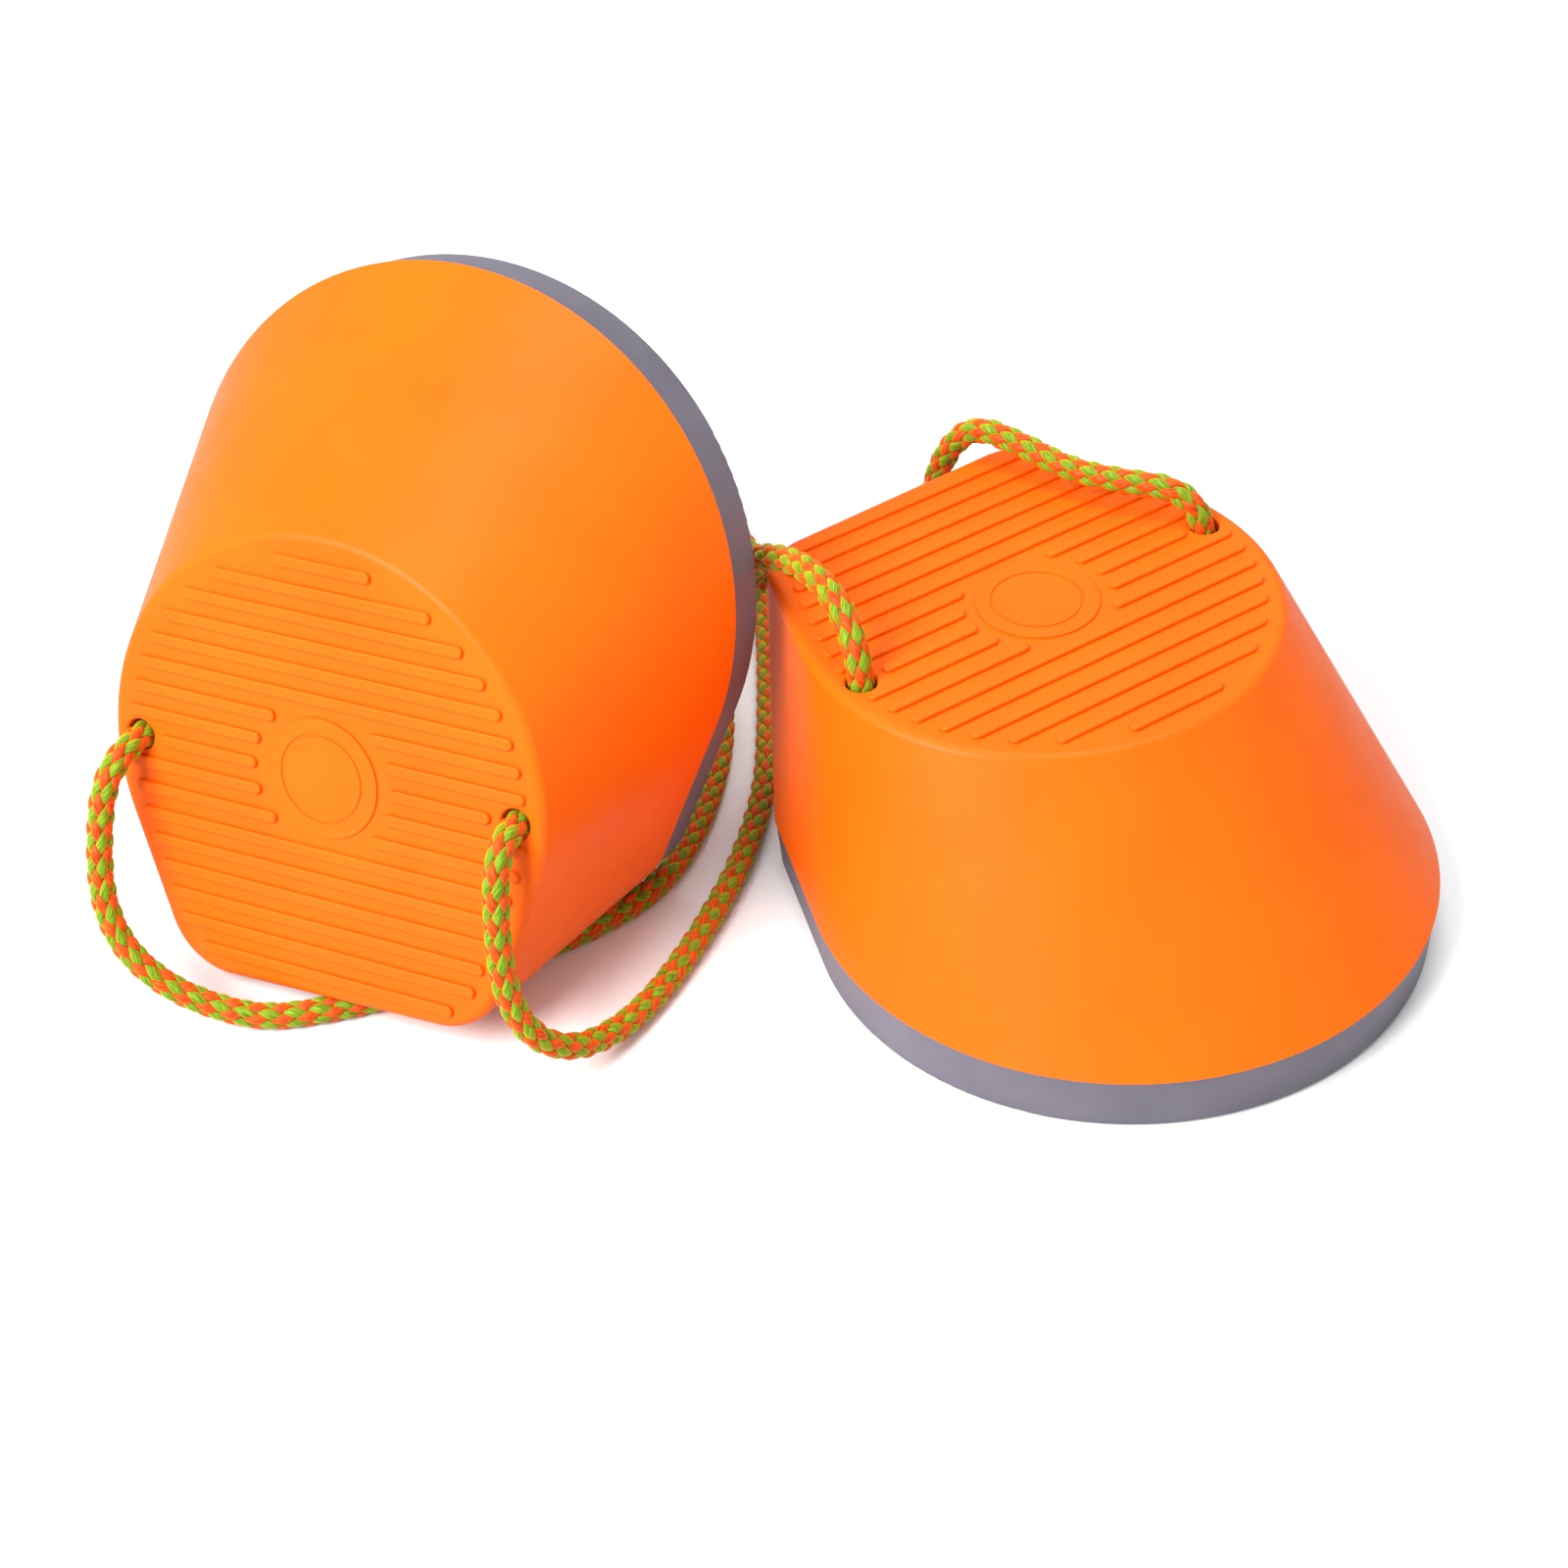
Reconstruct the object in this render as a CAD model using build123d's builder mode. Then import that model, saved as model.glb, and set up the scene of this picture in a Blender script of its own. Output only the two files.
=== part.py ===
"""A pair of children's cup stilts: two hollow moulded cups with grip decks, rubber foot rings and rope handles.

One cup stands on its foot ring. The other lies beside it on its flat side, tipped a little by its own rope.
Millimetres, +Z up, origin on the floor under the middle of the pair.
"""

import os
from collections import namedtuple
from math import cos, pi, radians, sin, sqrt, tan

from build123d import *

os.makedirs("parts", exist_ok=True)

# An outline is a big arc at the toe, a straight flat at the heel and two rounded heel corners.
Outline = namedtuple("Outline", "radius centre_y corner_x corner_radius flat_y")

# Driving dimensions of one cup, in its own frame: deck up, flat side towards -Y, axis of the deck arc at x = y = 0.
deck = Outline(radius=72.5, centre_y=0.0, corner_x=35.0, corner_radius=22.5, flat_y=-72.5)
base = Outline(radius=95.0, centre_y=40.5, corner_x=53.0, corner_radius=20.0, flat_y=-51.0)
cup_height = 93.0
deck_edge_radius = 3.0
wall = 3.2
deck_thickness = 3.5

ring_height = 18.5  # visible band of the rubber foot ring
ring_lip_height = 4.0  # rubber under the rim of the shell
ring_step = 0.4  # the ring sits this far inside the shell's outline
ring_foot_inset = 1.8
ring_foot_radius = 2.0
ring_wall = 3.1
ring_lip_width = 9.0
spigot_inset = 3.3  # skirt of the shell that the ring is pushed over
spigot_wall = 2.8

rib_depth = 12.0  # stiffening ribs under the deck
rib_thickness = 2.6
cross_rib_places = (-42.0, -18.0, 18.0, 42.0)
long_rib_places = (-34.0, 0.0, 34.0)

# Grip ribs on the deck
grip_pitch = 8.0
grip_rows = 8  # rows on each side of the middle row
grip_width = 3.6
grip_height = 1.3
grip_edge_gap = 5.0  # plain deck between the end of a rib and the deck's outline
grip_round = 0.6
plain_disc_radius = 22.5  # middle of the deck, free of grip ribs
plain_disc_raised = 18.5  # plain raised disc inside that
plain_disc_height = 0.6
plain_disc_groove = (13.0, 14.0)  # inner and outer radius of the groove in it
groove_depth = 0.35

# Rope holes
hole_x = 63.7
hole_y = 0.0
hole_radius = 4.6
hole_round = 1.0
hole_grip_gap = 7.7  # from the middle of a rope hole to the end of the middle rib
deck_turn = -1.4  # turn of the ribs and rope holes against the outline of the deck

# Ropes and their knots
rope_diameter = 8.0
rope_hole_x = 63.6  # the rope leans a little to the inner side of its hole
knot_top = 84.0
knot_height = 18.0
knot_radius = 10.0
knot_round = 4.0
knot_x = 60.5
knot_tail = 14.0
smallest_bend = 11.0

# Where the two cups are
standing_frame = Plane((78.466, 17.176, 0.0)).rotated((0, 0, 213.606))
lying_heading = 241.637  # direction that the lying deck faces, seen from above
lying_rise = 17.026  # how far the lying deck looks up
lying_roll = 4.387
deck_facing = Vector(
    cos(radians(lying_heading)) * cos(radians(lying_rise)),
    sin(radians(lying_heading)) * cos(radians(lying_rise)),
    sin(radians(lying_rise)),
)
level_side = Vector(-sin(radians(lying_heading)), cos(radians(lying_heading)), 0)
toe_up = deck_facing.cross(level_side)
lying_side = level_side * cos(radians(lying_roll)) + toe_up * sin(radians(lying_roll))
lying_frame = Plane((-89.482, 49.996, 50.476), x_dir=lying_side, z_dir=deck_facing)
stilts = {"standing": standing_frame, "lying": lying_frame}

# Coil of the standing cup's spare rope, on the floor behind it
coil_centre = (101.0, 144.0)
coil_radius = 42.0
tie_thickness = 0.8
tie_width = 9.0
tie_angle = 8.0
coil_layers = 2


def side_normal(shape):
    """Unit normal of the straight side between the toe arc and the heel corner, and the corner's centre."""
    corner_y = shape.flat_y + shape.corner_radius
    along = Vector(shape.corner_x, corner_y - shape.centre_y)
    slope = (shape.radius - shape.corner_radius) / along.length
    unit = along.normalized()
    normal = unit * slope + Vector(-unit.Y, unit.X) * sqrt(1 - slope**2)
    return normal, Vector(shape.corner_x, corner_y)


def outline_face(shape, inset=0.0):
    """Face of a cup outline, pulled in all round by inset."""
    normal, corner = side_normal(shape)
    toe_radius = shape.radius - inset
    corner_radius = shape.corner_radius - inset
    toe_end = Vector(0, shape.centre_y) + normal * toe_radius
    side_end = corner + normal * corner_radius
    corner_middle = corner + (normal + Vector(0, -1)).normalized() * corner_radius
    flat_y = corner.Y - corner_radius
    with BuildSketch() as outline:
        with BuildLine():
            ThreePointArc((-toe_end.X, toe_end.Y), (0, shape.centre_y + toe_radius), (toe_end.X, toe_end.Y))
            Line((toe_end.X, toe_end.Y), (side_end.X, side_end.Y))
            ThreePointArc((side_end.X, side_end.Y), (corner_middle.X, corner_middle.Y), (corner.X, flat_y))
            Line((corner.X, flat_y), (-corner.X, flat_y))
            ThreePointArc((-corner.X, flat_y), (-corner_middle.X, corner_middle.Y), (-side_end.X, side_end.Y))
            Line((-side_end.X, side_end.Y), (-toe_end.X, toe_end.Y))
        make_face()
    return outline.sketch


def half_width(shape, y):
    """Half the width of an outline at y."""
    normal, corner = side_normal(shape)
    toe_end = Vector(0, shape.centre_y) + normal * shape.radius
    side_end = corner + normal * shape.corner_radius
    if y > toe_end.Y:
        return sqrt(shape.radius**2 - (y - shape.centre_y) ** 2)
    if y > side_end.Y:
        share = (toe_end.Y - y) / (toe_end.Y - side_end.Y)
        return toe_end.X + share * (side_end.X - toe_end.X)
    return corner.X + sqrt(shape.corner_radius**2 - (y - corner.Y) ** 2)


def grip_segments():
    """Start, end and y of each grip rib: whole rows, and short ones either side of the plain middle disc."""
    inset = grip_edge_gap + grip_width / 2
    ends = deck._replace(
        radius=deck.radius - inset, corner_radius=deck.corner_radius - inset, flat_y=deck.flat_y + inset
    )
    segments = []
    for row in range(-grip_rows, grip_rows + 1):
        y = row * grip_pitch
        end = half_width(ends, y) + grip_width / 2
        if row == 0:
            end = hole_x - hole_grip_gap
        if abs(y) < plain_disc_radius:
            start = sqrt(plain_disc_radius**2 - y**2)
            segments += [(start, end, y), (-end, -start, y)]
        else:
            segments.append((-end, end, y))
    return segments


def on_deck(x, y):
    """A place given along the grip ribs and across them, turned into the cup's own frame."""
    turned = Vector(x, y).rotate(Axis.Z, deck_turn)
    return turned.X, turned.Y


# Inside of the cup, with the stiffening ribs left standing
with BuildPart() as cavity:
    with BuildSketch(Plane.XY.offset(ring_lip_height - 1)):
        add(outline_face(base, spigot_inset + spigot_wall))
    with BuildSketch(Plane.XY.offset(cup_height - deck_thickness)):
        add(outline_face(deck, wall))
    loft(ruled=True)
    rib_bottom = cup_height - deck_thickness - rib_depth
    with Locations(*[(0, y, rib_bottom + rib_depth) for y in cross_rib_places]):
        Box(4 * deck.radius, rib_thickness, 2 * rib_depth, mode=Mode.SUBTRACT)
    with Locations(*[(x, 0, rib_bottom + rib_depth) for x in long_rib_places]):
        Box(rib_thickness, 4 * deck.radius, 2 * rib_depth, mode=Mode.SUBTRACT)

# Moulded shell: sloping wall and deck, skirt for the foot ring, grip ribs and rope holes
with BuildPart() as shell:
    with BuildSketch(Plane.XY.offset(ring_height)):
        add(outline_face(base))
    with BuildSketch(Plane.XY.offset(cup_height)):
        add(outline_face(deck))
    loft(ruled=True)
    fillet(shell.faces().sort_by(Axis.Z)[-1].edges(), deck_edge_radius)
    with BuildSketch(Plane.XY.offset(ring_lip_height)):
        add(outline_face(base, spigot_inset))
    extrude(amount=ring_height - ring_lip_height)
    add(cavity.part, mode=Mode.SUBTRACT)
    with BuildSketch(Plane.XY.offset(cup_height).rotated((0, 0, deck_turn))):
        for start, end, y in grip_segments():
            with Locations(((start + end) / 2, y)):
                SlotOverall(end - start, grip_width)
    extrude(amount=grip_height)
    fillet(shell.edges().group_by(Axis.Z)[-1], grip_round)
    with BuildSketch(Plane.XY.offset(cup_height)):
        Circle(plain_disc_raised)
    extrude(amount=plain_disc_height)
    with BuildSketch(Plane.XY.offset(cup_height + plain_disc_height)):
        Circle(plain_disc_groove[1])
        Circle(plain_disc_groove[0], mode=Mode.SUBTRACT)
    extrude(amount=-groove_depth, mode=Mode.SUBTRACT)
    with Locations((*on_deck(hole_x, hole_y), cup_height), (*on_deck(-hole_x, hole_y), cup_height)):
        Hole(radius=hole_radius, depth=2 * deck_thickness)
    rims = [
        edge
        for edge in shell.edges().filter_by(GeomType.CIRCLE)
        if abs(edge.radius - hole_radius) < 0.01 and abs(edge.center().Z - cup_height) < 0.01
    ]
    fillet(rims, hole_round)

# Rubber foot ring, pushed over the skirt, with a lip that the shell stands on
with BuildPart() as foot_ring:
    with BuildSketch(Plane.XY):
        add(outline_face(base, ring_foot_inset))
    with BuildSketch(Plane.XY.offset(ring_height)):
        add(outline_face(base, ring_step))
    loft(ruled=True)
    fillet(foot_ring.faces().sort_by(Axis.Z)[0].edges(), ring_foot_radius)
    with BuildSketch(Plane.XY.offset(ring_lip_height)):
        add(outline_face(base, ring_wall))
    extrude(amount=ring_height, mode=Mode.SUBTRACT)
    with BuildSketch(Plane.XY):
        add(outline_face(base, ring_lip_width))
    extrude(amount=ring_lip_height, mode=Mode.SUBTRACT)


def write(piece, label):
    piece.part.label = label
    export_step(piece.part, f"parts/{label}.step")


def corner_radii(points):
    """Bend radius at each inner point of a route: 0.45 of the shorter run, over the tangent of half the turn."""
    radii = []
    for before, here, after in zip(points, points[1:], points[2:]):
        run_in = Vector(*here) - Vector(*before)
        run_out = Vector(*after) - Vector(*here)
        half_turn = radians(run_in.get_angle(run_out)) / 2
        radii.append(0.45 * min(run_in.length, run_out.length) / tan(half_turn))
    return radii


def write_rope(points, label):
    """A plain round tube along a route, with its bends and its length reported."""
    radii = corner_radii(points)
    with BuildPart() as rope:
        with BuildLine() as route:
            FilletPolyline(*points, radius=radii)
        with BuildSketch(Plane(route.line @ 0, z_dir=route.line % 0)):
            Circle(rope_diameter / 2)
        sweep()
    section = pi * rope_diameter**2 / 4
    print(label, "bends", [round(radius, 1) for radius in radii])
    length = sum(edge.length for edge in route.edges())
    print(label, "length", round(length, 1), "from volume", round(rope.part.volume / section, 1))
    assert min(radii) > smallest_bend
    write(rope, label)


def in_frame(frame, x, y, z):
    """A point given along the grip ribs, across them and up from a cup's foot, in the frame of the pair."""
    return tuple(frame.from_local_coords(Vector(*on_deck(x, y), z)))


# Shells, foot rings and knots, once for each cup
for name, frame in stilts.items():
    with BuildPart() as placed_shell:
        add(shell.part.moved(frame.location))
    write(placed_shell, f"{name}_shell")
    with BuildPart() as placed_ring:
        add(foot_ring.part.moved(frame.location))
    write(placed_ring, f"{name}_foot_ring")
    for side, sign in (("left", -1), ("right", 1)):
        knot_plane = Plane(
            in_frame(frame, sign * knot_x, hole_y, knot_top - knot_height), x_dir=frame.x_dir, z_dir=frame.z_dir
        )
        with BuildPart() as knot:
            with BuildSketch(knot_plane):
                Circle(knot_radius)
            extrude(amount=knot_height)
            fillet(knot.edges().filter_by(GeomType.CIRCLE), knot_round)
            with BuildSketch(knot_plane):
                Circle(rope_diameter / 2)
            extrude(amount=-knot_tail)
        write(knot, f"{name}_knot_{side}")

# Rope of the lying cup: out of one rope hole, round the floor under the cup's flat side, back behind it,
# out again between the cups and up to the other rope hole.
write_rope(
    [
        in_frame(lying_frame, -rope_hole_x, hole_y, knot_top),
        in_frame(lying_frame, -rope_hole_x, hole_y, 97.5),
        (-198.5, -13.5, 69.0),
        (-202.0, -22.5, 50.0),
        (-202.0, -30.0, 35.5),
        (-197.0, -36.5, 23.0),
        (-185.5, -42.5, 13.0),
        (-171.0, -46.0, 6.5),
        (-156.0, -49.0, 4.0),
        (-138.0, -46.5, 4.0),
        (-119.0, -42.0, 4.0),
        (-94.0, -33.0, 4.0),
        (-63.5, -19.5, 4.0),
        (-38.5, 0.0, 4.0),
        (-24.5, 34.0, 4.0),
        (-18.0, 70.0, 4.0),
        (-18.5, 98.0, 4.0),
        (-35.0, 119.0, 4.0),
        (-63.0, 129.0, 4.0),
        (-88.0, 149.0, 4.0),
        (-94.0, 181.0, 4.0),
        (-72.0, 207.0, 4.0),
        (-38.0, 211.0, 4.0),
        (-11.0, 191.0, 4.0),
        (-2.5, 156.0, 4.0),
        (-2.0, 118.0, 4.0),
        (-3.0, 80.0, 4.0),
        (-5.0, 46.0, 4.0),
        (-12.5, 14.0, 4.0),
        (-21.0, -9.0, 4.0),
        (-31.0, -31.0, 4.0),
        (-42.5, -51.5, 4.0),
        (-54.5, -68.0, 7.0),
        (-66.0, -80.5, 14.5),
        (-76.0, -86.0, 27.0),
        (-81.5, -83.5, 43.0),
        (-82.0, -77.0, 59.0),
        (-81.0, -71.0, 76.0),
        in_frame(lying_frame, rope_hole_x, hole_y, 97.5),
        in_frame(lying_frame, rope_hole_x, hole_y, knot_top),
    ],
    "lying_rope",
)

# Rope of the standing cup, from each rope hole over the deck's edge and down behind the cup to the coil
coil_z = tie_thickness + rope_diameter / 2
coil_top_z = coil_z + rope_diameter
write_rope(
    [
        in_frame(standing_frame, rope_hole_x, hole_y, knot_top),
        in_frame(standing_frame, rope_hole_x, hole_y, 97.0),
        (21.5, -8.0, 108.5),
        (15.5, 5.0, 113.0),
        (6.5, 23.0, 109.5),
        (-5.5, 41.0, 98.0),
        (-14.0, 62.0, 80.0),
        (-20.0, 88.0, 61.0),
        (-21.0, 115.0, 41.0),
        (-14.0, 138.0, 23.0),
        (3.0, 158.0, 10.0),
        (30.0, 173.0, coil_z),
        (62.0, 184.0, coil_z),
        (80.0, 187.0, coil_z),
    ],
    "standing_rope_left",
)
write_rope(
    [
        in_frame(standing_frame, -rope_hole_x, hole_y, knot_top),
        in_frame(standing_frame, -rope_hole_x, hole_y, 95.5),
        (124.5, 56.0, 103.5),
        (108.5, 63.0, 102.5),
        (93.5, 73.5, 100.5),
        (79.0, 87.0, 102.5),
        (66.0, 98.0, 102.5),
        (57.0, 103.0, 89.5),
        (52.0, 105.0, 68.0),
        (50.0, 108.0, 45.0),
        (53.0, 108.5, 23.0),
        (67.0, 105.0, coil_top_z),
        (84.0, 102.5, coil_top_z),
    ],
    "standing_rope_right",
)

# Outer shape of the coil, and the strap that holds its turns together
with BuildPart() as coil:
    with BuildSketch(Plane((*coil_centre, tie_thickness))):
        Circle(coil_radius + rope_diameter / 2)
        Circle(coil_radius - rope_diameter / 2, mode=Mode.SUBTRACT)
    extrude(amount=coil_layers * rope_diameter)
    fillet(coil.edges(), rope_diameter / 3)
write(coil, "standing_rope_coil")

tie_place = (
    coil_centre[0] + coil_radius * cos(radians(tie_angle)),
    coil_centre[1] + coil_radius * sin(radians(tie_angle)),
    tie_thickness + coil_layers * rope_diameter / 2,
)
tie_plane = Plane(tie_place, x_dir=(cos(radians(tie_angle)), sin(radians(tie_angle)), 0),
                  z_dir=(-sin(radians(tie_angle)), cos(radians(tie_angle)), 0))
with BuildPart() as tie:
    with BuildSketch(tie_plane):
        RectangleRounded(rope_diameter + 2 * tie_thickness, coil_layers * rope_diameter + 2 * tie_thickness, 3.4)
        RectangleRounded(rope_diameter, coil_layers * rope_diameter, 2.6, mode=Mode.SUBTRACT)
    extrude(amount=tie_width / 2, both=True)
write(tie, "standing_rope_tie")
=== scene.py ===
"""A pair of children's cup stilts: orange moulded cups, grey rubber foot rings and two-colour braided ropes."""

from math import cos, pi, radians, sin

import bpy
import numpy as np
from mathutils import Matrix, Vector


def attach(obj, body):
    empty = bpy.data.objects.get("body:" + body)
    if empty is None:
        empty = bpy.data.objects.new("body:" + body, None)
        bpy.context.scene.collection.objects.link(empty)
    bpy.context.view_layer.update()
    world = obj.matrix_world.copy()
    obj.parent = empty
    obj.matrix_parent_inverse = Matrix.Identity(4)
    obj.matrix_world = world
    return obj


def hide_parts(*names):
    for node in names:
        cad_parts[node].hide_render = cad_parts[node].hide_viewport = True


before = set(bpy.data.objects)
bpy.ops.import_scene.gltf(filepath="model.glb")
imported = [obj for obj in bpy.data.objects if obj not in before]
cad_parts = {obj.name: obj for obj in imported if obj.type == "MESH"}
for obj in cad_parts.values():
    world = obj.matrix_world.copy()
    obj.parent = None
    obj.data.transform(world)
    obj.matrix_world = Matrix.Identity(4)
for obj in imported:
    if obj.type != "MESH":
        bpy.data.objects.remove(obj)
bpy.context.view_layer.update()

MM = 0.001
STANDING, LYING = "standing_cup", "lying_cup"

# ---------------------------------------------------------------------------------------------------- camera
CAMERA_PLACE = Vector((0.0007, -0.7711, 0.6807))
CAMERA_DOWN = radians(39.608)  # looking along +Y, this far down
CAMERA_ROLL = radians(-3.1906)
CAMERA_LENS = 76.301
SENSOR = 36.0


def add_camera():
    level_right = Vector((1, 0, 0))
    level_up = Vector((0, sin(CAMERA_DOWN), cos(CAMERA_DOWN)))
    forward = Vector((0, cos(CAMERA_DOWN), -sin(CAMERA_DOWN)))
    right = level_right * cos(CAMERA_ROLL) + level_up * sin(CAMERA_ROLL)
    up = level_up * cos(CAMERA_ROLL) - level_right * sin(CAMERA_ROLL)
    data = bpy.data.cameras.new("camera")
    data.lens = CAMERA_LENS
    data.sensor_width = SENSOR
    camera = bpy.data.objects.new("camera", data)
    bpy.context.scene.collection.objects.link(camera)
    camera.matrix_world = Matrix.Translation(CAMERA_PLACE) @ Matrix((right, up, -forward)).transposed().to_4x4()
    bpy.context.scene.camera = camera


# ---------------------------------------------------------------------------------------- places of the cups
# A cup's own axes run along its ribs, across them and up through its deck, in millimetres.
DECK_TURN = radians(-1.4)  # turn of the ribs and rope holes against the outline of the deck
STANDING_HEADING = radians(213.606)
STANDING_PLACE = Vector((78.466, 17.176, 0.0))
LYING_HEADING = radians(241.637)  # the way its deck faces, over the floor
LYING_RISE = radians(17.026)  # how far the deck faces up
LYING_ROLL = radians(4.387)
LYING_PLACE = Vector((-89.482, 49.996, 50.476))


def standing_point(x, y, z):
    """The place in the frame, in metres, of a point on the standing cup's own axes."""
    turn = Matrix.Rotation(STANDING_HEADING + DECK_TURN, 3, "Z")
    return (turn @ Vector((x, y, z)) + STANDING_PLACE) * MM


def lying_axes():
    flat = cos(LYING_RISE)
    facing = Vector((cos(LYING_HEADING) * flat, sin(LYING_HEADING) * flat, sin(LYING_RISE)))
    level = Vector((-sin(LYING_HEADING), cos(LYING_HEADING), 0))
    across = level * cos(LYING_ROLL) + facing.cross(level) * sin(LYING_ROLL)
    return across, facing.cross(across), facing


def lying_point(x, y, z):
    """The place in the frame, in metres, of a point on the lying cup's own axes."""
    across, toe, facing = lying_axes()
    x, y = x * cos(DECK_TURN) - y * sin(DECK_TURN), x * sin(DECK_TURN) + y * cos(DECK_TURN)
    return (across * x + toe * y + facing * z + LYING_PLACE) * MM


def floor_point(x, y, z):
    return Vector((x, y, z)) * MM


# ----------------------------------------------------------------------------------------------- rope routes
ROPE = 8.0 * MM
HOLE_X, HOLE_Y = 63.6, 0.0
KNOT_TOP = 84.0
LYING_EXIT = 97.5  # height up the cup's own axis of the route's first point outside each hole
STANDING_EXITS = (97.0, 95.5)  # the same for the standing cup, where the rope starts and where it ends
COIL_CENTRE = (101.0, 144.0)
COIL_RADIUS = 42.0
COIL_Z = 4.8
COIL_TOP_Z = 12.8  # the second layer, one rope higher
COIL_SPREAD = 0.75  # sets the control points out by this power, because the rope runs inside them
COIL_TURNS = 1.5
COIL_POINTS = 14  # control points in one turn
CLIMB_FROM, CLIMB_TO = 0.55, 0.95  # part of the first turn in which the rope climbs onto the layer below


def lying_route():
    loose = [
        (-198.5, -13.5, 69.0),
        (-202.0, -22.5, 50.0),
        (-202.0, -30.0, 35.5),
        (-197.0, -36.5, 23.0),
        (-185.5, -42.5, 13.0),
        (-171.0, -46.0, 6.5),
        (-156.0, -49.0, 4.0),
        (-138.0, -46.5, 4.0),
        (-119.0, -42.0, 4.0),
        (-94.0, -33.0, 4.0),
        (-63.5, -19.5, 4.0),
        (-38.5, 0.0, 4.0),
        (-24.5, 34.0, 4.0),
        (-18.0, 70.0, 4.0),
        (-18.5, 98.0, 4.0),
        (-35.0, 119.0, 4.0),
        (-63.0, 129.0, 4.0),
        (-88.0, 149.0, 4.0),
        (-94.0, 181.0, 4.0),
        (-72.0, 207.0, 4.0),
        (-38.0, 211.0, 4.0),
        (-11.0, 191.0, 4.0),
        (-2.5, 156.0, 4.0),
        (-2.0, 118.0, 4.0),
        (-3.0, 80.0, 4.0),
        (-5.0, 46.0, 4.0),
        (-12.5, 14.0, 4.0),
        (-21.0, -9.0, 4.0),
        (-31.0, -31.0, 4.0),
        (-42.5, -51.5, 4.0),
        (-54.5, -68.0, 7.0),
        (-66.0, -80.5, 14.5),
        (-76.0, -86.0, 27.0),
        (-81.5, -83.5, 43.0),
        (-82.0, -77.0, 59.0),
        (-81.0, -71.0, 76.0),
    ]
    start = [lying_point(-HOLE_X, HOLE_Y, KNOT_TOP), lying_point(-HOLE_X, HOLE_Y, LYING_EXIT)]
    end = [lying_point(HOLE_X, HOLE_Y, LYING_EXIT), lying_point(HOLE_X, HOLE_Y, KNOT_TOP)]
    return start + [floor_point(*p) for p in loose] + end


def coil_route():
    """Control points of the coil, clockwise from its far side and up onto the first layer, to end in front."""
    reach = COIL_RADIUS / cos(pi / COIL_POINTS) ** COIL_SPREAD
    points = []
    for step in range(int(COIL_TURNS * COIL_POINTS) + 1):
        turned = step / COIL_POINTS
        angle = pi / 2 - 2 * pi * turned
        climbed = min(max((turned - CLIMB_FROM) / (CLIMB_TO - CLIMB_FROM), 0.0), 1.0)
        x = COIL_CENTRE[0] + reach * cos(angle)
        y = COIL_CENTRE[1] + reach * sin(angle)
        points.append(floor_point(x, y, COIL_Z + ROPE / MM * climbed))
    return points


def standing_route():
    left = [
        (21.5, -8.0, 108.5),
        (15.5, 5.0, 113.0),
        (6.5, 23.0, 109.5),
        (-5.5, 41.0, 98.0),
        (-14.0, 62.0, 80.0),
        (-20.0, 88.0, 61.0),
        (-21.0, 115.0, 41.0),
        (-14.0, 138.0, 23.0),
        (3.0, 158.0, 10.0),
        (30.0, 173.0, COIL_Z),
        (62.0, 184.0, COIL_Z),
        (80.0, 187.0, COIL_Z),
    ]
    right = [
        (84.0, 102.5, COIL_TOP_Z),
        (67.0, 105.0, COIL_TOP_Z),
        (53.0, 108.5, 23.0),
        (50.0, 108.0, 45.0),
        (52.0, 105.0, 68.0),
        (57.0, 103.0, 89.5),
        (66.0, 98.0, 102.5),
        (79.0, 87.0, 102.5),
        (93.5, 73.5, 100.5),
        (108.5, 63.0, 102.5),
        (124.5, 56.0, 103.5),
    ]
    exit_start, exit_end = STANDING_EXITS
    start = [standing_point(HOLE_X, HOLE_Y, KNOT_TOP), standing_point(HOLE_X, HOLE_Y, exit_start)]
    end = [standing_point(-HOLE_X, HOLE_Y, exit_end), standing_point(-HOLE_X, HOLE_Y, KNOT_TOP)]
    return start + [floor_point(*p) for p in left] + coil_route() + [floor_point(*p) for p in right] + end


SPLINE_STEPS = 24  # points on the line for each control point


def smooth_line(route, name):
    """Points of the NURBS spline with the route's points as its control points."""
    curve = bpy.data.curves.new(name, "CURVE")
    curve.dimensions = "3D"
    spline = curve.splines.new("NURBS")
    spline.points.add(len(route) - 1)
    for point, place in zip(spline.points, route):
        point.co = (*place, 1.0)
    spline.order_u = 3
    spline.use_endpoint_u = True
    spline.resolution_u = SPLINE_STEPS
    holder = bpy.data.objects.new(name, curve)
    mesh = bpy.data.meshes.new_from_object(holder)
    line = np.empty(len(mesh.vertices) * 3)
    mesh.vertices.foreach_get("co", line)
    bpy.data.meshes.remove(mesh)
    bpy.data.objects.remove(holder)
    bpy.data.curves.remove(curve)
    return line.reshape(-1, 3)


# ------------------------------------------------------------------------------------------------- the braid
STRANDS = 5  # of each colour: the green ones turn one way, the orange ones the other
LOZENGE = 7.5 * MM  # length of one crossing to the next of the same colour, along the rope
STRAND_ORBIT = 2.62 * MM
STRAND_WEAVE = 0.62 * MM
STRAND_HALF_WIDTH = 1.62 * MM
STRAND_HALF_THICK = 0.92 * MM
STRAND_SQUARE = 0.9  # below 1 the strand's section is fuller than an ellipse
SECTION_POINTS = 14
AROUND = 2 * pi * np.arange(SECTION_POINTS) / SECTION_POINTS  # angle of each point of a section
RING_STEP = 0.55 * MM
CORE_RADIUS = 1.9 * MM
GREEN, ORANGE, CORE = range(3)  # places of the yarns in a braid's list of materials


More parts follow.
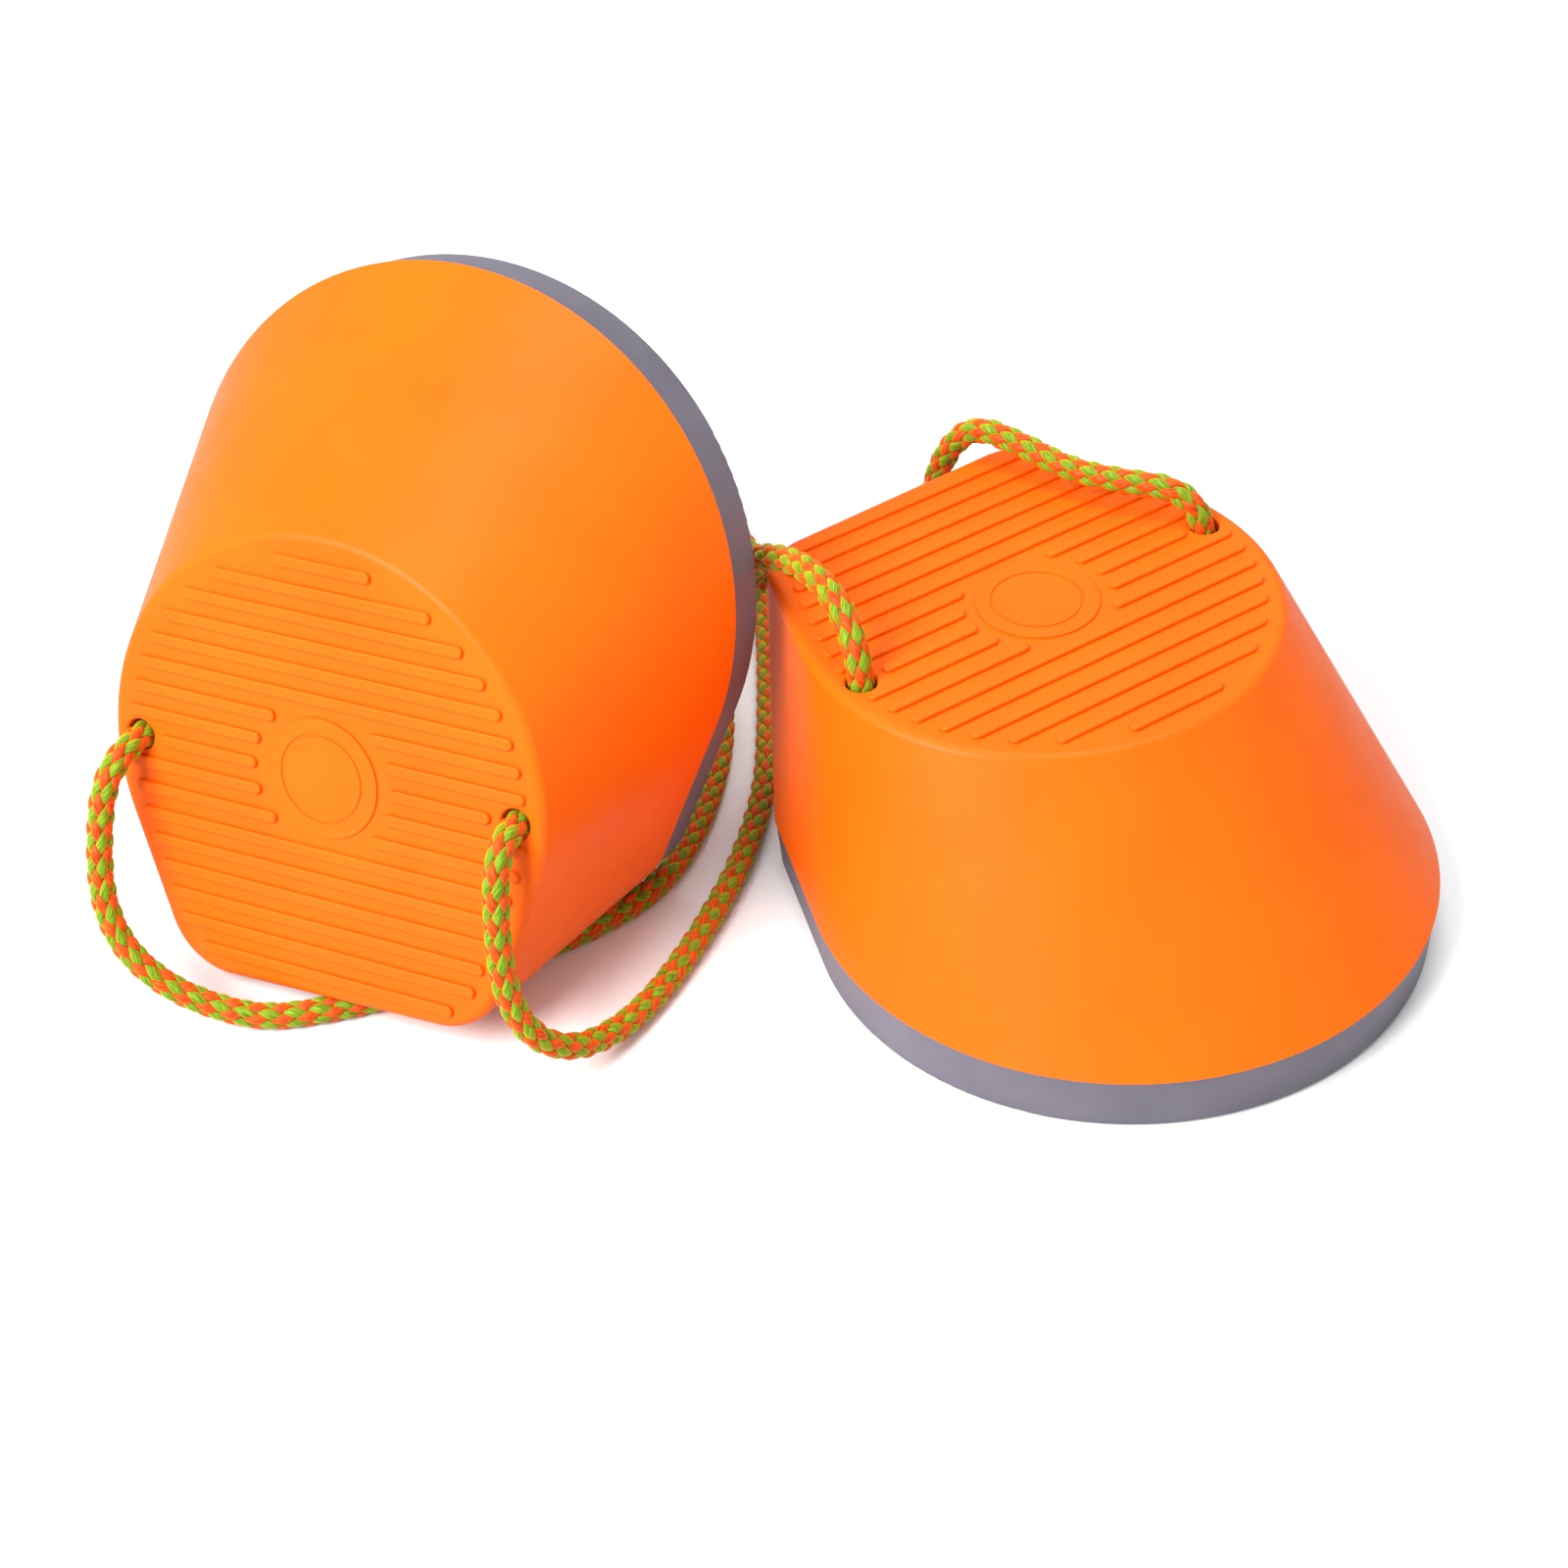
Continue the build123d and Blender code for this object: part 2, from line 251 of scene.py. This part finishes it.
def rings_along(line, step):
    """Places, directions and two turning axes at even steps along a line, with no twist between them."""
    gaps = np.linalg.norm(np.diff(line, axis=0), axis=1)
    line = line[np.r_[True, gaps > 1e-7]]
    far = np.r_[0, np.cumsum(np.linalg.norm(np.diff(line, axis=0), axis=1))]
    count = int(round(far[-1] / step)) + 1
    at = np.linspace(0, far[-1], count)
    place = np.stack([np.interp(at, far, line[:, k]) for k in range(3)], axis=1)
    along = np.gradient(place, axis=0)
    along /= np.linalg.norm(along, axis=1)[:, None]
    side = np.empty_like(along)
    first = np.cross(along[0], (0.0, 0.0, 1.0) if abs(along[0][2]) < 0.9 else (1.0, 0.0, 0.0))
    side[0] = first / np.linalg.norm(first)
    for k in range(1, count):
        carried = side[k - 1] - along[k] * np.dot(side[k - 1], along[k])
        side[k] = carried / np.linalg.norm(carried)
    return at, place, along, side, np.cross(along, side)


def strand_points(rings, hand, number):
    """Surface of one strand as rings of points."""
    at, place, along, side, up = rings
    turn_rate = 2 * pi / STRANDS / LOZENGE
    angle = hand * turn_rate * at + 2 * pi * number / STRANDS
    lean = np.arctan(STRAND_ORBIT * turn_rate)
    across = STRAND_HALF_WIDTH * np.sign(np.cos(AROUND)) * np.abs(np.cos(AROUND)) ** STRAND_SQUARE
    out = STRAND_HALF_THICK * np.sign(np.sin(AROUND)) * np.abs(np.sin(AROUND)) ** STRAND_SQUARE
    swung = angle[:, None] + (across * cos(lean))[None, :] / (STRAND_ORBIT + STRAND_HALF_THICK / 2)
    slid = -hand * across * sin(lean)
    # crossings passed so far: a strand goes over at one and under at the next
    crossing = (swung + hand * turn_rate * (at[:, None] + slid[None, :])) * STRANDS / (2 * pi) - number
    radius = STRAND_ORBIT + STRAND_WEAVE * hand * np.cos(pi * crossing) + out[None, :]
    return (
        place[:, None, :]
        + along[:, None, :] * slid[None, :, None]
        + side[:, None, :] * (radius * np.cos(swung))[:, :, None]
        + up[:, None, :] * (radius * np.sin(swung))[:, :, None]
    )


def core_points(rings):
    """Surface of the round core as rings of points."""
    _, place, _, side, up = rings
    return (
        place[:, None, :]
        + side[:, None, :] * (CORE_RADIUS * np.cos(AROUND))[None, :, None]
        + up[:, None, :] * (CORE_RADIUS * np.sin(AROUND))[None, :, None]
    )


def tube_faces(ring_count, first):
    """Faces between the rings of one tube, whose vertices start at number first."""
    ring = np.arange(ring_count - 1)[:, None] * SECTION_POINTS
    a = np.arange(SECTION_POINTS)[None, :]
    b = (a + 1) % SECTION_POINTS
    quads = np.stack([ring + a, ring + b, ring + SECTION_POINTS + b, ring + SECTION_POINTS + a], axis=2)
    return quads.reshape(-1, 4) + first


def tube_caps(ring_count, first):
    """The two end faces of the same tube."""
    last = first + (ring_count - 1) * SECTION_POINTS
    return [list(range(first + SECTION_POINTS - 1, first - 1, -1)), list(range(last, last + SECTION_POINTS))]


def add_strand_uv(mesh, at, tubes):
    """UV map of the fibres: millimetres along the rope, and the part of the way round the strand."""
    uv = np.stack(np.broadcast_arrays(at[:, None] / MM, AROUND[None, :] / (2 * pi)), axis=2).reshape(-1, 2)
    corner_vertex = np.empty(len(mesh.loops), dtype=np.int32)
    mesh.loops.foreach_get("vertex_index", corner_vertex)
    mesh.uv_layers.new(name="strand").data.foreach_set("uv", np.tile(uv, (tubes, 1))[corner_vertex].ravel())


def braid_mesh(line, name, materials):
    """A braided rope along a line: five green and five orange strands over a round core."""
    rings = rings_along(line, RING_STEP)
    at = rings[0]
    tubes = [(strand_points(rings, 1, number), GREEN) for number in range(STRANDS)]
    tubes += [(strand_points(rings, -1, number), ORANGE) for number in range(STRANDS)]
    tubes.append((core_points(rings), CORE))
    faces, face_slots, caps, cap_slots = [], [], [], []
    first = 0
    for _, slot in tubes:
        quads = tube_faces(len(at), first)
        faces.append(quads)
        face_slots += [slot] * len(quads)
        caps += tube_caps(len(at), first)
        cap_slots += [slot, slot]
        first += len(at) * SECTION_POINTS
    vertices = np.concatenate([points.reshape(-1, 3) for points, _ in tubes])
    mesh = bpy.data.meshes.new(name)
    mesh.from_pydata(vertices.tolist(), [], np.concatenate(faces).tolist() + caps)
    mesh.polygons.foreach_set("material_index", np.array(face_slots + cap_slots, dtype=np.int32))
    mesh.polygons.foreach_set("use_smooth", np.ones(len(mesh.polygons), dtype=bool))
    add_strand_uv(mesh, at, len(tubes))
    for material in materials:
        mesh.materials.append(material)
    mesh.update()
    piece = bpy.data.objects.new(name, mesh)
    bpy.context.scene.collection.objects.link(piece)
    return piece


# ----------------------------------------------------------------------------------------------------- knots
KNOT_X = 60.5
KNOT_MIDDLE = KNOT_TOP - 9.5
KNOT_LOOP = 4.7  # radius of the knot's loop, in millimetres
KNOT_BULGE = 2.3
KNOT_DEPTH = 3.4
KNOT_NARROW = 0.9  # width of the knot against its height
KNOT_TAIL = ((0.0, 4.5, -7.0), (1.0, 3.5, -13.0), (3.0, 2.5, -20.5))  # inward, across and up
KNOT_STEPS = 18
KNOT_GAP = 0.42  # how far from its closing place the loop is left open, in radians


def knot_route(sign, cup_point):
    """An overhand knot under the deck: down from the hole, through its three lobes and out as a tail."""
    inward = -sign
    local = [(sign * HOLE_X, HOLE_Y, KNOT_TOP + 1.0), (sign * HOLE_X, HOLE_Y, KNOT_TOP - 3.0)]
    for step in range(KNOT_STEPS + 1):
        t = 2 * pi - KNOT_GAP - (2 * pi - 2 * KNOT_GAP) * step / KNOT_STEPS
        reach = KNOT_LOOP + KNOT_BULGE * cos(3 * t)
        local.append(
            (
                sign * KNOT_X - inward * reach * cos(2 * t) * KNOT_NARROW,
                HOLE_Y + KNOT_DEPTH * sin(3 * t),
                KNOT_MIDDLE + reach * sin(2 * t),
            )
        )
    end_x = local[-1][0]
    local += [(end_x + inward * x, HOLE_Y + y, KNOT_MIDDLE + z) for x, y, z in KNOT_TAIL]
    return [cup_point(*p) for p in local]


# ------------------------------------------------------------------------------------------------- materials
GRAIN_DEPTH = 0.1 * MM
FIBRE_DEPTH = 0.2 * MM
MIX_COLOUR_A, MIX_COLOUR_B, MIX_COLOUR_RESULT = 6, 7, 2  # colour sockets of a mix node, whose names repeat


def new_material(name):
    material = bpy.data.materials.new(name)
    material.use_nodes = True
    tree = material.node_tree
    return material, tree, tree.nodes["Principled BSDF"]


def add_node(tree, kind, **values):
    node = tree.nodes.new(kind)
    for key, value in values.items():
        if key in node.inputs.keys():
            node.inputs[key].default_value = value
        else:
            setattr(node, key, value)
    return node


def ramp(tree, stops):
    node = tree.nodes.new("ShaderNodeValToRGB")
    elements = node.color_ramp.elements
    while len(elements) < len(stops):
        elements.new(0.5)
    for element, (place, colour) in zip(elements, stops):
        element.position = place
        element.color = (*colour, 1.0)
    return node


def noise(tree, coordinate, scale, detail=4.0, roughness=0.5):
    node = add_node(tree, "ShaderNodeTexNoise", Scale=scale, Detail=detail, Roughness=roughness)
    tree.links.new(coordinate, node.inputs["Vector"])
    return node


def paint(tree, factor, stops, shader):
    """Gives a shader the colour that a ramp makes of a factor."""
    colour = ramp(tree, stops)
    tree.links.new(factor, colour.inputs["Fac"])
    tree.links.new(colour.outputs["Color"], shader.inputs["Base Color"])


def emboss(tree, height, strength, distance, shader):
    """Gives a shader a bump map."""
    bump = add_node(tree, "ShaderNodeBump", Strength=strength, Distance=distance)
    tree.links.new(height, bump.inputs["Height"])
    tree.links.new(bump.outputs["Normal"], shader.inputs["Normal"])


def rescale(tree, value, **limits):
    """Maps a value from one range to another; limits holds From_Min, To_Max and so on."""
    node = add_node(tree, "ShaderNodeMapRange")
    for key, limit in limits.items():
        node.inputs[key.replace("_", " ")].default_value = limit
    tree.links.new(value, node.inputs["Value"])
    return node.outputs["Result"]


def moulded_plastic():
    """Satin orange plastic: faint cloudiness, spark-eroded grain and soft scuffs."""
    material, tree, shader = new_material("orange_moulded_plastic")
    place = add_node(tree, "ShaderNodeTexCoord").outputs["Object"]
    clouds = noise(tree, place, 22.0)
    paint(tree, clouds.outputs["Fac"], [(0.35, (0.79, 0.108, 0.0020)), (0.65, (0.84, 0.121, 0.0026))], shader)
    scuffs = noise(tree, place, 60.0, 6.0, 0.6)
    rough = rescale(tree, scuffs.outputs["Fac"], From_Min=0.35, From_Max=0.7, To_Min=0.36, To_Max=0.46)
    tree.links.new(rough, shader.inputs["Roughness"])
    grain = noise(tree, place, 1600.0, 2.0)
    emboss(tree, grain.outputs["Fac"], 0.10, GRAIN_DEPTH, shader)
    shader.inputs["Specular IOR Level"].default_value = 0.12
    return material


def rubber():
    """Blue-grey rubber: matt, a little dusty, with a fine grain."""
    material, tree, shader = new_material("grey_rubber")
    place = add_node(tree, "ShaderNodeTexCoord").outputs["Object"]
    dust = noise(tree, place, 35.0, 5.0)
    paint(tree, dust.outputs["Fac"], [(0.3, (0.115, 0.106, 0.140)), (0.7, (0.150, 0.140, 0.178))], shader)
    shader.inputs["Roughness"].default_value = 0.5
    grain = noise(tree, place, 1100.0, 3.0)
    emboss(tree, grain.outputs["Fac"], 0.2, GRAIN_DEPTH, shader)
    return material


def yarn(name, stops, sheen_tint):
    """Synthetic yarn: fibres along the strand, and a painted sheen: a tint of another colour mixed in where the
    surface turns away from the view.
    """
    material, tree, shader = new_material(name)
    strand = add_node(tree, "ShaderNodeUVMap", uv_map="strand").outputs["UV"]
    stretch = add_node(tree, "ShaderNodeMapping")
    stretch.inputs["Scale"].default_value = (0.25, 30.0, 1.0)
    tree.links.new(strand, stretch.inputs["Vector"])
    fibres = noise(tree, stretch.outputs["Vector"], 1.0, 3.0)
    colour = ramp(tree, stops)
    tree.links.new(fibres.outputs["Fac"], colour.inputs["Fac"])
    # painted sheen: where the surface faces away from the view, the colour is mixed towards the given tint
    glancing = add_node(tree, "ShaderNodeLayerWeight", Blend=0.5)
    painted_sheen_weight = ramp(tree, [(0.22, (0, 0, 0)), (0.75, (0.85, 0.85, 0.85))])
    tree.links.new(glancing.outputs["Facing"], painted_sheen_weight.inputs["Fac"])
    mix = add_node(tree, "ShaderNodeMix", data_type="RGBA")
    tree.links.new(painted_sheen_weight.outputs["Color"], mix.inputs["Factor"])
    tree.links.new(colour.outputs["Color"], mix.inputs[MIX_COLOUR_A])
    mix.inputs[MIX_COLOUR_B].default_value = (*sheen_tint, 1.0)
    tree.links.new(mix.outputs[MIX_COLOUR_RESULT], shader.inputs["Base Color"])
    emboss(tree, fibres.outputs["Fac"], 0.35, FIBRE_DEPTH, shader)
    shader.inputs["Roughness"].default_value = 0.45
    shader.inputs["Specular IOR Level"].default_value = 0.15
    return material


def strap():
    """Dark woven strap."""
    material, tree, shader = new_material("dark_strap")
    place = add_node(tree, "ShaderNodeTexCoord").outputs["Object"]
    weave = add_node(tree, "ShaderNodeTexChecker", Scale=1100.0)
    tree.links.new(place, weave.inputs["Vector"])
    paint(tree, weave.outputs["Fac"], [(0.0, (0.012, 0.012, 0.014)), (1.0, (0.035, 0.035, 0.04))], shader)
    emboss(tree, weave.outputs["Fac"], 0.5, FIBRE_DEPTH, shader)
    shader.inputs["Roughness"].default_value = 0.8
    return material


def set_material(node, material):
    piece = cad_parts[node]
    if not piece.material_slots:
        piece.data.materials.append(material)
    for place in piece.material_slots:
        place.material = material


# ------------------------------------------------------------------------------------------ floor and lights
FLOOR_SIZE = 6.0  # from the middle to each edge
FLOOR_DROP = 0.2 * MM  # the floor lies this far under the cups
BACKDROP_FROM, BACKDROP_TO = 0.45, 1.1  # distance from the middle over which the floor turns into a backdrop
AIM = (0, 0, 0.05)  # what every light points at


def add_floor():
    """White floor; away from the cups it turns into an evenly lit backdrop."""
    mesh = bpy.data.meshes.new("floor")
    corners = [(x * FLOOR_SIZE, y * FLOOR_SIZE, 0) for x, y in ((-1, -1), (1, -1), (1, 1), (-1, 1))]
    mesh.from_pydata(corners, [], [(0, 1, 2, 3)])
    floor = bpy.data.objects.new("floor", mesh)
    bpy.context.scene.collection.objects.link(floor)
    floor.location.z = -FLOOR_DROP
    material, tree, shader = new_material("floor")
    # white to the eye, dimmer as a reflector
    seen = add_node(tree, "ShaderNodeLightPath").outputs["Is Camera Ray"]
    paint(tree, seen, [(0.0, (0.60, 0.58, 0.58)), (1.0, (0.90, 0.89, 0.89))], shader)
    place = add_node(tree, "ShaderNodeTexCoord").outputs["Object"]
    reach = add_node(tree, "ShaderNodeVectorMath", operation="LENGTH")
    tree.links.new(place, reach.inputs[0])
    fade = rescale(tree, reach.outputs["Value"], From_Min=BACKDROP_FROM, From_Max=BACKDROP_TO)
    shown = add_node(tree, "ShaderNodeMath", operation="MULTIPLY")
    tree.links.new(fade, shown.inputs[0])
    tree.links.new(seen, shown.inputs[1])
    backdrop = add_node(tree, "ShaderNodeEmission")
    blend = add_node(tree, "ShaderNodeMixShader")
    tree.links.new(shown.outputs[0], blend.inputs[0])
    tree.links.new(shader.outputs[0], blend.inputs[1])
    tree.links.new(backdrop.outputs[0], blend.inputs[2])
    tree.links.new(blend.outputs[0], tree.nodes["Material Output"].inputs["Surface"])
    shader.inputs["Roughness"].default_value = 0.6
    mesh.materials.append(material)


def add_light(name, place, size, power):
    data = bpy.data.lights.new(name, "AREA")
    data.shape = "DISK"
    data.size = size
    data.energy = power
    light = bpy.data.objects.new(name, data)
    bpy.context.scene.collection.objects.link(light)
    light.location = place
    light.rotation_euler = (Vector(AIM) - Vector(place)).to_track_quat("-Z", "Y").to_euler()


def add_lights():
    world = bpy.data.worlds.new("studio")
    world.use_nodes = True
    tree = world.node_tree
    background = tree.nodes["Background"]
    background.inputs["Color"].default_value = (1.0, 1.0, 1.0, 1.0)
    seen = add_node(tree, "ShaderNodeLightPath").outputs["Is Camera Ray"]
    strength = rescale(tree, seen, To_Min=0.68, To_Max=1.0)  # white to the eye, dimmer as a light
    tree.links.new(strength, background.inputs["Strength"])
    bpy.context.scene.world = world
    add_light("key", (-1.1, -0.9, 1.3), 1.2, 61.0)
    add_light("top", (0.2, 0.3, 1.8), 1.0, 17.0)
    add_light("fill", (1.2, -1.4, 1.2), 1.2, 1.5)


# ---------------------------------------------------------------------------------------------------- making
add_camera()
plastic, ring_rubber, dark_strap = moulded_plastic(), rubber(), strap()
# the last colour given to each yarn is its painted sheen tint, mixed in where the strand turns away from the
# view
green = yarn(
    "green_yarn",
    [(0.3, (0.050, 0.100, 0.004)), (0.5, (0.145, 0.250, 0.008)), (0.72, (0.29, 0.42, 0.016))],
    sheen_tint=(0.50, 0.40, 0.010),
)
orange = yarn(
    "orange_yarn",
    [(0.3, (0.28, 0.020, 0.003)), (0.5, (0.56, 0.058, 0.004)), (0.72, (0.78, 0.130, 0.006))],
    sheen_tint=(0.70, 0.19, 0.008),
)
core = yarn("rope_core", [(0.3, (0.05, 0.025, 0.005)), (0.7, (0.10, 0.05, 0.01))], sheen_tint=(0.10, 0.05, 0.01))
yarns = (green, orange, core)

ropes = {
    "lying_rope": (LYING, lying_route(), ["lying_rope"], 0.95),
    "standing_rope": (
        STANDING,
        standing_route(),
        ["standing_rope_left", "standing_rope_coil", "standing_rope_right"],
        0.965,
    ),
}
for name, (body, route, nodes, length) in ropes.items():
    line = smooth_line(route, name + "_line")
    rope = braid_mesh(line, name + "_braid", yarns)
    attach(rope, body)
    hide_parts(*nodes)

for cup, body, cup_point in (("lying", LYING, lying_point), ("standing", STANDING, standing_point)):
    for side, sign in (("left", -1), ("right", 1)):
        node = f"{cup}_knot_{side}"
        knot = braid_mesh(smooth_line(knot_route(sign, cup_point), node + "_line"), node + "_braid", yarns)
        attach(knot, body)
        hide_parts(node)
    set_material(f"{cup}_shell", plastic)
    set_material(f"{cup}_foot_ring", ring_rubber)
set_material("standing_rope_tie", dark_strap)

add_floor()
add_lights()
bpy.context.scene.view_settings.view_transform = "Standard"
